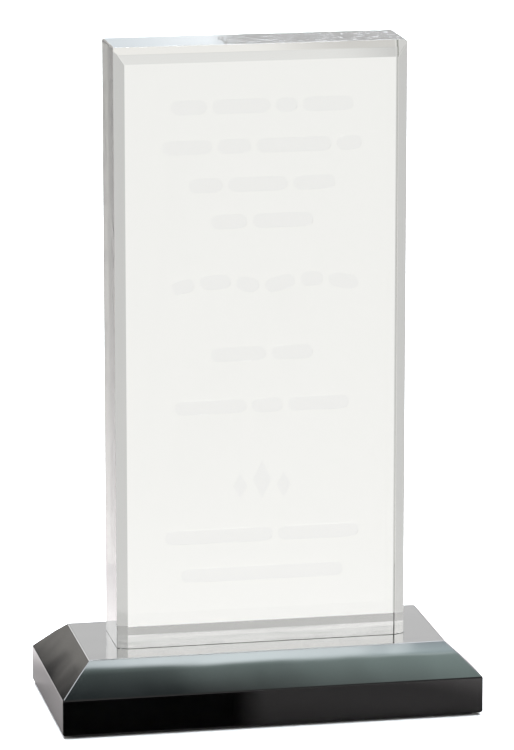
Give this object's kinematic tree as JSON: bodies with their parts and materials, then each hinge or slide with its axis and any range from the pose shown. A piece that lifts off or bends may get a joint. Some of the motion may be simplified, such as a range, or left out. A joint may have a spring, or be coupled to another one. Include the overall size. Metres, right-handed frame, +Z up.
{
  "type": "crystal award",
  "caption": "Upright clear crystal slab with a bevelled front, bonded on a black glass plinth with bevelled edges and a felt underside.",
  "frame": {"origin": "on the surface the award stands on, at the middle of its footprint", "axes": "+Z up, -Y towards the viewer of the bevelled front, +X to that viewer's right"},
  "size_m": [0.145, 0.069, 0.23],
  "materials": {
    "crystal": "polished, colourless",
    "cured_adhesive": "clear cured film",
    "black_glass": "polished, opaque black",
    "adhesive_backing": "translucent adhesive film",
    "felt": "pressed felt"
  },
  "bodies": {
    "root": {"crystal_slab": "crystal", "bond_film": "cured_adhesive", "plinth": "black_glass", "pad_adhesive": "adhesive_backing", "felt_pad": "felt"}
  },
  "joints": []
}
